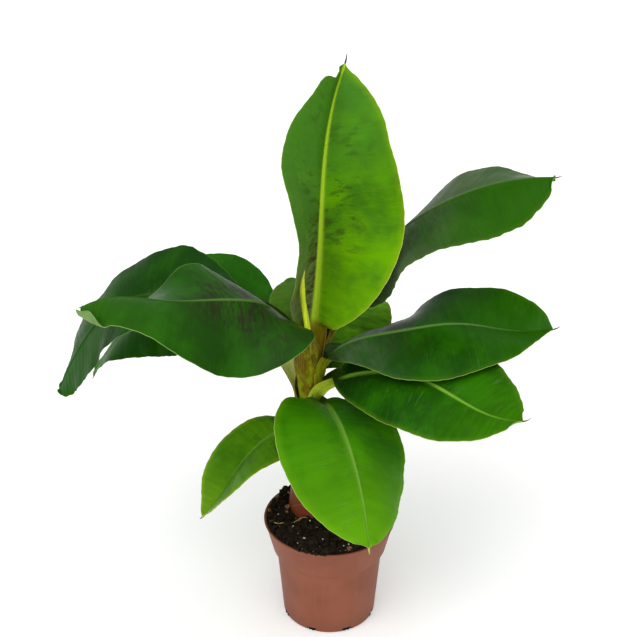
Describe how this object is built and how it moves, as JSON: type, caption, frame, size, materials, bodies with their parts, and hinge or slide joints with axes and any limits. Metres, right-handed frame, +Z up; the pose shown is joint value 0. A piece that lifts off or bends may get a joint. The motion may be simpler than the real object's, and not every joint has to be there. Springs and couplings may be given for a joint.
{
  "type": "banana plant",
  "caption": "Young banana plant with broad arching leaves on one short upright stem, growing in a tapered nursery pot that stands on a flat surface.",
  "frame": {"origin": "middle of the pot's flat underside, at the level it stands on", "axes": "+Z up the plant, -Y towards the front, +X to the right seen from the front"},
  "size_m": [0.4471, 0.3386, 0.5067],
  "materials": {
    "pot": "matt terracotta-brown moulded plastic",
    "soil": "loose dark peat with perlite and bark",
    "stem": "satin yellow-green leaf sheaths with dry brown edges",
    "young_leaf": "satin bright green leaf blade",
    "leaf": "satin deep green leaf blade with a pale rib"
  },
  "bodies": {
    "root": {"pot": "pot", "soil": "soil", "stem": "stem", "leaf_top": "young_leaf", "leaf_upper_right": "leaf", "leaf_right": "leaf", "leaf_lower_right": "leaf", "leaf_front": "leaf", "leaf_small_left": "leaf", "leaf_left_front": "leaf", "leaf_left_arch_base": "leaf", "leaf_left_arch_end": "leaf", "leaf_left_back_base": "leaf", "leaf_left_back_end": "leaf", "leaf_back_left": "leaf", "leaf_back_right": "leaf", "leaf_rolled": "young_leaf"}
  },
  "joints": []
}
